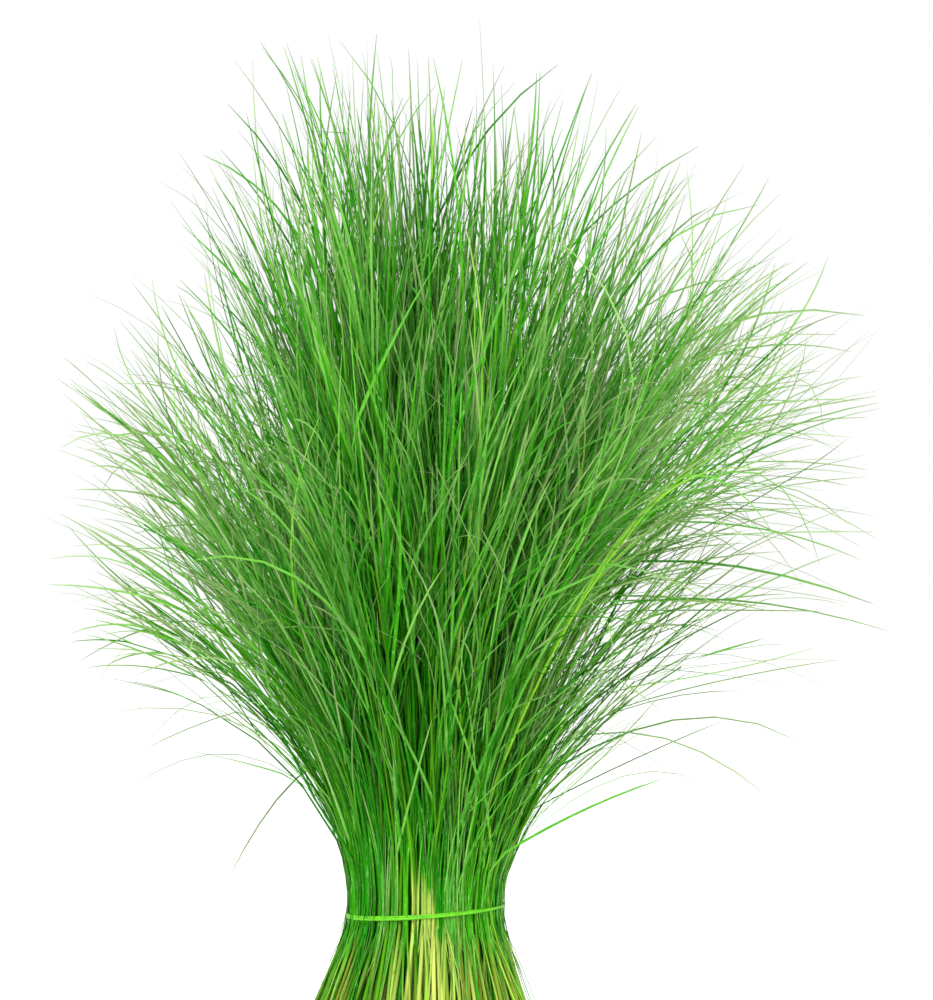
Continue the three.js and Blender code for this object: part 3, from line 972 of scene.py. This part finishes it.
# ---- Geometry Nodes: a section swept along every strand --------------------------------------
class Sweep(Nodes):
    """The node tree that turns centre lines into stems and leaves."""

    def __init__(self):
        super().__init__(bpy.data.node_groups.new("Durva strands", "GeometryNodeTree"))
        self.inputs = {}
        self.tree.interface.new_socket("Geometry", in_out="OUTPUT", socket_type="NodeSocketGeometry")
        for name, kind in (
            ("Geometry", "NodeSocketGeometry"),
            ("Blade fold", "NodeSocketFloat"),
            ("Blade body", "NodeSocketFloat"),
            ("Stem sides", "NodeSocketInt"),
            ("Stem finish", "NodeSocketMaterial"),
            ("Blade finish", "NodeSocketMaterial"),
        ):
            socket = self.tree.interface.new_socket(name, in_out="INPUT", socket_type=kind)
            self.inputs[name] = socket.identifier
        self.entry = self.tree.nodes.new("NodeGroupInput")
        self.build()

    def attribute(self, name, kind="FLOAT"):
        return self.out("GeometryNodeInputNamedAttribute", {"data_type": kind}, {"Name": name})

    def numbered(self, section):
        """A section whose points keep their number in the sweep, as the attribute around."""
        number = self.out("GeometryNodeSplineParameter", {}, {}, "Index")
        settings = {"data_type": "INT", "domain": "POINT"}
        sockets = {"Geometry": section, "Name": "around", "Value": number}
        return self.out("GeometryNodeStoreNamedAttribute", settings, sockets)

    def blade_section(self):
        """A shallow V: its two edges, its hollow face and the midrib on its back."""
        body = self.entry.outputs["Blade body"]
        sockets = {0: self.entry.outputs["Blade fold"], 1: -1.0}
        low = self.out("ShaderNodeMath", {"operation": "MULTIPLY"}, sockets)
        corners = {
            "Point 1": self.out("ShaderNodeCombineXYZ", {}, {"X": -1.0, "Y": low}),
            "Point 2": self.out("ShaderNodeCombineXYZ", {}, {"Y": BLADE_HOLLOW}),
            "Point 3": self.out("ShaderNodeCombineXYZ", {}, {"X": 1.0, "Y": low}),
            "Point 4": self.out("ShaderNodeCombineXYZ", {}, {"Y": body}),
        }
        return self.numbered(self.out("GeometryNodeCurvePrimitiveQuadrilateral", {"mode": "POINTS"}, corners))

    def stem_section(self):
        sockets = {"Resolution": self.entry.outputs["Stem sides"], "Radius": 1.0}
        return self.numbered(self.out("GeometryNodeCurvePrimitiveCircle", {}, sockets))

    def swept(self, kind, section, finish):
        """The strands of one kind with their section swept along them."""
        settings = {"data_type": "INT", "operation": "EQUAL"}
        chosen = self.out("FunctionNodeCompare", settings, {"A": self.attribute("kind", "INT"), "B": kind})
        sockets = {"Mesh": self.entry.outputs["Geometry"], "Selection": chosen}
        lines = self.out("GeometryNodeMeshToCurve", {}, sockets)
        turned = self.out("GeometryNodeSetCurveTilt", {}, {"Curve": lines, "Tilt": self.attribute("twist")})
        sockets = {"Curve": turned, "Profile Curve": section, "Fill Caps": True}
        sockets["Scale"] = self.attribute("thickness")
        solid = self.out("GeometryNodeCurveToMesh", {}, sockets)
        sockets = {"Geometry": solid, "Material": self.entry.outputs[finish]}
        return self.out("GeometryNodeSetMaterial", {}, sockets)

    def build(self):
        join = self.tree.nodes.new("GeometryNodeJoinGeometry")
        self.tree.links.new(self.swept(LEAF, self.blade_section(), "Blade finish"), join.inputs[0])
        self.tree.links.new(self.swept(STEM, self.stem_section(), "Stem finish"), join.inputs[0])
        real = self.out("GeometryNodeRealizeInstances", {}, {"Geometry": join.outputs[0]})
        self.node("NodeGroupOutput", {}, {0: real})


def read(mesh, name, kind=float):
    values = np.empty(len(mesh.vertices), np.int32 if kind is int else np.float32)
    mesh.attributes[name].data.foreach_get("value", values)
    return values


def write(mesh, name, kind, domain, values):
    layer = mesh.attributes.get(name) or mesh.attributes.new(name, kind, domain)
    layer.data.foreach_set("value", values)


def section_places(kind, around):
    """How far across its strand each point lies: edge to edge on a blade, front to back on a stem."""
    blade = np.array([-1.0, 0.0, 1.0, 0.0])[around % LEAF_SIDES]
    stem = np.abs(2.0 * around / STEM_SIDES - 1)
    return np.where(kind == LEAF, blade, stem).astype(np.float32)


def loop_faces(mesh):
    """Each loop's face, each face's first loop and its number of corners."""
    total = np.empty(len(mesh.polygons), np.int32)
    start = np.empty(len(mesh.polygons), np.int32)
    mesh.polygons.foreach_get("loop_total", total)
    mesh.polygons.foreach_get("loop_start", start)
    return np.repeat(np.arange(len(total)), total), start, total


def stand_on_floor(mesh):
    """Lays flat the cut ends that a slanting stem would push through the floor."""
    places = np.empty((len(mesh.vertices), 3), np.float32)
    mesh.vertices.foreach_get("co", places.ravel())
    places[:, 2] = np.maximum(places[:, 2], 0)
    mesh.vertices.foreach_set("co", places.ravel())


def blade_edges(mesh, kind, around):
    """Which edges run along a blade's two rims, where it is creased."""
    ends = np.empty(2 * len(mesh.edges), np.int32)
    mesh.edges.foreach_get("vertices", ends)
    one, other = ends[::2], ends[1::2]
    return (kind[one] == LEAF) & (around[one] == around[other]) & (around[one] % 2 == 0)


def bake_columns(cell, counts):
    """Each strand's column in the bake map, its row there and the number of rows."""
    leaf = cell - counts[STEM]
    column = np.where(leaf < 0, cell, counts[STEM] + leaf // LEAF_ROWS)
    return column, np.where(leaf < 0, 0, leaf % LEAF_ROWS), np.where(leaf < 0, 1, LEAF_ROWS)


def finish_mesh(mesh, counts, cut):
    """Crisp blade edges, cut ends in their own material, and a place in the bake map for each strand."""
    kind, strand, around = (read(mesh, name, int) for name in ("kind", "strand", "around"))
    stand_on_floor(mesh)
    write(mesh, "across", "FLOAT", "POINT", section_places(kind, around))
    write(mesh, "sharp_edge", "BOOLEAN", "EDGE", blade_edges(mesh, kind, around))
    corner = np.empty(len(mesh.loops), np.int32)
    mesh.loops.foreach_get("vertex_index", corner)
    along, number = read(mesh, "along")[corner], around[corner]
    face, start, total = loop_faces(mesh)
    sides = np.where(kind[corner[start]] == LEAF, LEAF_SIDES, STEM_SIDES)
    span = np.maximum.reduceat(number, start) - np.minimum.reduceat(number, start)
    summed = np.add.reduceat(number, start)
    closing = (total == 4) & (span == sides - 1) & (summed == 2 * (sides - 1))
    cap = (span != 1) & ~closing
    write(mesh, "sharp_face", "BOOLEAN", "FACE", cap)
    facets, on_cap = sides[face], cap[face]
    u = number + np.where(closing[face] & (number == 0), facets, 0)
    u = np.where(on_cap, facets * (0.5 + CAP_SIZE * np.cos(TURN * number / facets)), u)
    ring = CAP_SIZE * np.sin(TURN * number / facets)
    capped = np.where(along < 0.5, CAP_FOOT + CAP_FOOT_SIZE * ring, CAP_TIP + CAP_TIP_SIZE * ring)
    v = np.where(on_cap, capped, MAP_FOOT + MAP_ALONG * along)
    column, row, rows = bake_columns(strand[corner], counts)
    columns = counts[STEM] + math.ceil(counts[LEAF] / LEAF_ROWS)
    across = (column + MAP_MARGIN + MAP_ACROSS * u / facets) / columns
    places = np.stack([across, (row + v) / rows], axis=1)
    layer = mesh.uv_layers.new(name="OFBake")
    layer.uv.foreach_set("vector", places.astype(np.float32).ravel())
    mesh.materials.append(cut)
    material = np.empty(len(mesh.polygons), np.int32)
    mesh.polygons.foreach_get("material_index", material)
    material[cap & (kind[corner[start]] == STEM) & (along[start] < 0.5)] = len(mesh.materials) - 1
    mesh.polygons.foreach_set("material_index", material)
    for name in ("kind", "strand", "around", "thickness", "twist"):
        mesh.attributes.remove(mesh.attributes[name])
    mesh.update()


def link(name, mesh):
    piece = bpy.data.objects.new(name, mesh)
    bpy.context.scene.collection.objects.link(piece)
    return piece


def swept_mesh(name, strands, sweep, inputs):
    """The sweep's result on one sprig's strands, as a plain mesh."""
    guide = link(name + "_lines", strands.mesh(name + "_lines"))
    modifier = guide.modifiers.new("Strands", "NODES")
    modifier.node_group = sweep.tree
    for key, value in inputs.items():
        modifier[sweep.inputs[key]] = value
    depsgraph = bpy.context.evaluated_depsgraph_get()
    mesh = bpy.data.meshes.new_from_object(guide.evaluated_get(depsgraph), depsgraph=depsgraph)
    mesh.name = name
    bpy.data.objects.remove(guide)
    return mesh


# ---- The rubber band -------------------------------------------------------------------------
def band_mesh(name, sizes):
    """One closed loop of rubber that goes round twice: side by side at the right, stacked at the left."""
    strand = sizes.band_strand
    middle = sizes.band_inner + 2 * strand
    main = np.linspace(0, TURN, BAND_STEPS, endpoint=False)
    turn = np.linspace(0, TURN, BAND_SIDES, endpoint=False)
    out = middle + strand * np.cos(main)[:, None] + strand * np.cos(turn)
    up = BAND_OVAL * strand * (BAND_LIFT * np.sin(main)[:, None] + np.sin(turn))
    azimuth = (2 * main)[:, None]
    points = np.stack([out * np.cos(azimuth), out * np.sin(azimuth), up], axis=-1)
    level, rise = math.cos(BAND_TILT), math.sin(BAND_TILT)
    points = points @ np.array([[level, 0, -rise], [0, 1, 0], [rise, 0, level]])
    points = points + np.array([0, 0, BAND_HEIGHT])
    i, j = np.meshgrid(np.arange(BAND_STEPS), np.arange(BAND_SIDES), indexing="ij")
    here, after, beside = i * BAND_SIDES, (i + 1) % BAND_STEPS * BAND_SIDES, (j + 1) % BAND_SIDES
    corners = [here + j, after + j, after + beside, here + beside]
    mesh = bpy.data.meshes.new(name)
    mesh.from_pydata(points.reshape(-1, 3), [], np.stack(corners, axis=-1).reshape(-1, 4))
    mesh.shade_smooth()
    return mesh


# ---- The add-on ------------------------------------------------------------------------------
def size(name, text, default):
    return bpy.props.FloatProperty(name=name, description=text, default=default, unit="LENGTH", precision=5)


def colour(name, text, default):
    return bpy.props.FloatVectorProperty(
        name=name, description=text, default=default, subtype="COLOR", size=3, min=0, max=1
    )


class DurvaSizes(bpy.types.PropertyGroup):
    """How the grass is grown."""

    stems: bpy.props.IntProperty(name="Stems", description="Stems in the whole bunch", default=1000)
    stem_radius: size("Stem radius", "Half a stem's thickness inside the band", 0.00054)
    leaf_gap: size("Leaf gap", "Distance up a stem from leaf to leaf", 0.0155)
    leaf_length: size("Leaf length", "Length of a usual leaf", 0.082)
    blade_half_width: size("Blade half width", "Half the width of a blade at its widest", 0.00045)
    blade_fold: bpy.props.FloatProperty(
        name="Blade fold", description="Rise of a blade's edges over its midrib, by half width", default=0.28
    )
    blade_body: bpy.props.FloatProperty(
        name="Blade body", description="Thickness of a blade's midrib, by half width", default=0.12
    )
    clumping: bpy.props.FloatProperty(
        name="Clumping", description="How far stems draw to their sprig's middle", default=0.66
    )
    crossing: bpy.props.FloatProperty(
        name="Crossing", description="How far stems stray across their neighbours", default=0.065
    )
    foot_stray: size("Foot stray", "How far a cut end strays from its place", 0.003)
    wraps: bpy.props.IntProperty(name="Wraps", description="Sheaths that lie outside the stems", default=420)
    band_inner: size("Band inside", "Radius of the hole in the rubber band", 0.0219)
    band_strand: size("Band strand", "Half the thickness of the band's rubber", 0.00037)


class DurvaColours(bpy.types.PropertyGroup):
    """The colours of the grass and its band."""

    leaf_mid: colour("Leaf", "The usual green of a blade", (0.060, 0.355, 0.005))
    leaf_deep: colour("Deep leaf", "Shaded and older blades", (0.005, 0.138, 0.001))
    # Partly painted light: the green of young blades, and also the lit look of blades at the bunch's rim.
    leaf_fresh_lit: colour("Fresh leaf", "Young and lit blades", (0.15, 0.44, 0.055))
    leaf_lime: colour("Lime leaf", "A few yellower blades and stems", (0.25, 0.56, 0.035))
    stem_green: colour("Stem", "The upper stems", (0.078, 0.26, 0.003))
    stem_pale: colour("Pale stem", "The stems' lime yellow feet", (0.425, 0.495, 0.094))
    straw: colour("Straw", "Dry tips and sheaths", (0.215, 0.305, 0.118))
    husk: colour("Husk", "Old sheaths on the stems near the cut ends", (0.16, 0.2, 0.015))
    # Painted highlight: the colour of the light flecks painted along the blades.
    painted_glint: colour("Painted glint", "Flecks where the waxy bloom catches the light", (0.42, 0.66, 0.26))
    node: colour("Stem node", "The rings on the stems", (0.06, 0.15, 0.015))
    pith: colour("Pith", "The inside of a cut stem", (0.72, 0.8, 0.5))
    band: colour("Band", "The rubber band", (0.1, 0.42, 0.008))


class DURVA_OT_sprigs(bpy.types.Operator):
    """Grow the stems and leaves of every sprig"""

    bl_idname = "durva.sprigs"
    bl_label = "Sprigs"

    def execute(self, context):
        sizes, colours = context.scene.durva_sizes, context.scene.durva_colours
        blades = {
            "mid_green": blade_finish("Blade mid green", colours, colours.leaf_mid, 0.0),
            "deep_green": blade_finish("Blade deep green", colours, colours.leaf_mid, -0.2),
            "fresh_green": blade_finish("Blade fresh green", colours, colours.leaf_fresh_lit, 0.0),
        }
        stem, cut = stem_finish("Stem", colours), cut_finish("Cut end", colours)
        sweep = Sweep()
        slots = {row["node"]: row["material_slot"] for row in frame["record"]["subparts"]}
        for number, strands in enumerate(grow_sprigs(sizes), start=1):
            node = f"durva_sprig_{number:02d}"
            inputs = {
                "Blade fold": sizes.blade_fold,
                "Blade body": sizes.blade_body,
                "Stem sides": STEM_SIDES,
                "Stem finish": stem,
                "Blade finish": blades[slots[node]],
            }
            mesh = swept_mesh(f"durva_grass_{number:02d}", strands, sweep, inputs)
            finish_mesh(mesh, strands.count, cut)
            piece = link(mesh.name, mesh)
            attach(piece, "root")
            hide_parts(node)
        return {"FINISHED"}


class DURVA_OT_band(bpy.types.Operator):
    """Make the doubled rubber band"""

    bl_idname = "durva.band"
    bl_label = "Rubber band"

    def execute(self, context):
        mesh = band_mesh("rubber_band", context.scene.durva_sizes)
        mesh.materials.append(rubber_finish("Band rubber", context.scene.durva_colours))
        piece = link(mesh.name, mesh)
        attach(piece, "root")
        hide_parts("tie_band")
        return {"FINISHED"}


def area_light(name, place, target, width, power):
    lamp = bpy.data.lights.new(name, "AREA")
    lamp.size = width
    lamp.energy = power
    light = bpy.data.objects.new(name, lamp)
    light.location = place
    light.rotation_euler = (Vector(target) - Vector(place)).to_track_quat("-Z", "Y").to_euler()
    bpy.context.scene.collection.objects.link(light)


class DURVA_OT_stage(bpy.types.Operator):
    """Set up the pale floor, the studio light and the camera"""

    bl_idname = "durva.stage"
    bl_label = "Stage"

    FLOOR_RADIUS = 6.0
    FLOOR_SIDES = 128
    FLOOR_GREY = (0.9, 0.9, 0.9)
    FLOOR_GLOW = 0.2
    WHITE = (1.0, 1.0, 1.0)
    AIM = (0.0, 0.0, 0.15)  # where the lights point
    LIGHTS = (  # name, place, width and power
        ("Key", (-0.5, -0.9, 1.1), 0.5, 26.0),
        ("Fill", (0.9, -0.8, 0.4), 0.8, 6.0),
    )
    DISTANCE = 1.3  # from the camera to the bunch
    CENTRE = (0.012, 0.16675)  # across and up, where the camera looks
    SIGHT = 0.29  # the longer side of what it sees there
    SENSOR = 36.0  # millimetres

    def floor(self):
        bpy.ops.mesh.primitive_circle_add(
            vertices=self.FLOOR_SIDES, radius=self.FLOOR_RADIUS, fill_type="NGON"
        )
        floor = bpy.context.object
        floor.name = "floor"
        paper = {
            "Base Color": opaque(self.FLOOR_GREY),
            "Roughness": 0.9,
            "Specular IOR Level": 0.0,
            "Emission Color": opaque(self.WHITE),
            "Emission Strength": self.FLOOR_GLOW,
        }
        floor.data.materials.append(Finish("Floor paper").surface(paper))

    def light(self, scene):
        scene.world = bpy.data.worlds.new("Studio")
        scene.world.use_nodes = True
        background = scene.world.node_tree.nodes["Background"]
        background.inputs["Color"].default_value = opaque(self.WHITE)
        background.inputs["Strength"].default_value = 1.0
        for name, place, width, power in self.LIGHTS:
            area_light(name, place, self.AIM, width, power)

    def camera(self, scene):
        lens = bpy.data.cameras.new("Camera")
        lens.sensor_width = self.SENSOR
        lens.lens = lens.sensor_width * self.DISTANCE / self.SIGHT
        scene.camera = bpy.data.objects.new("Camera", lens)
        scene.camera.location = (self.CENTRE[0], -self.DISTANCE, self.CENTRE[1])
        scene.camera.rotation_euler = (math.pi / 2, 0, 0)
        scene.collection.objects.link(scene.camera)

    def execute(self, context):
        self.floor()
        self.light(context.scene)
        self.camera(context.scene)
        context.scene.view_settings.view_transform = "Standard"
        return {"FINISHED"}


class DURVA_PT_panel(bpy.types.Panel):
    """The bunch's steps and sizes in the sidebar"""

    bl_label = "Durva Bunch"
    bl_idname = "DURVA_PT_panel"
    bl_space_type = "VIEW_3D"
    bl_region_type = "UI"
    bl_category = "Durva"

    def draw(self, context):
        for operator in OPERATORS:
            self.layout.operator(operator.bl_idname)
        for group in (context.scene.durva_sizes, context.scene.durva_colours):
            for name in group.__annotations__:
                self.layout.prop(group, name)


OPERATORS = (DURVA_OT_stage, DURVA_OT_sprigs, DURVA_OT_band)
CLASSES = (DurvaSizes, DurvaColours, *OPERATORS, DURVA_PT_panel)


def register():
    for cls in CLASSES:
        bpy.utils.register_class(cls)
    bpy.types.Scene.durva_sizes = bpy.props.PointerProperty(type=DurvaSizes)
    bpy.types.Scene.durva_colours = bpy.props.PointerProperty(type=DurvaColours)


def unregister():
    del bpy.types.Scene.durva_sizes
    del bpy.types.Scene.durva_colours
    for cls in reversed(CLASSES):
        bpy.utils.unregister_class(cls)


def main():
    register()
    bpy.ops.durva.stage()
    bpy.ops.durva.sprigs()
    bpy.ops.durva.band()
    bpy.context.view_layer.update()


if __name__ == "__main__":
    main()
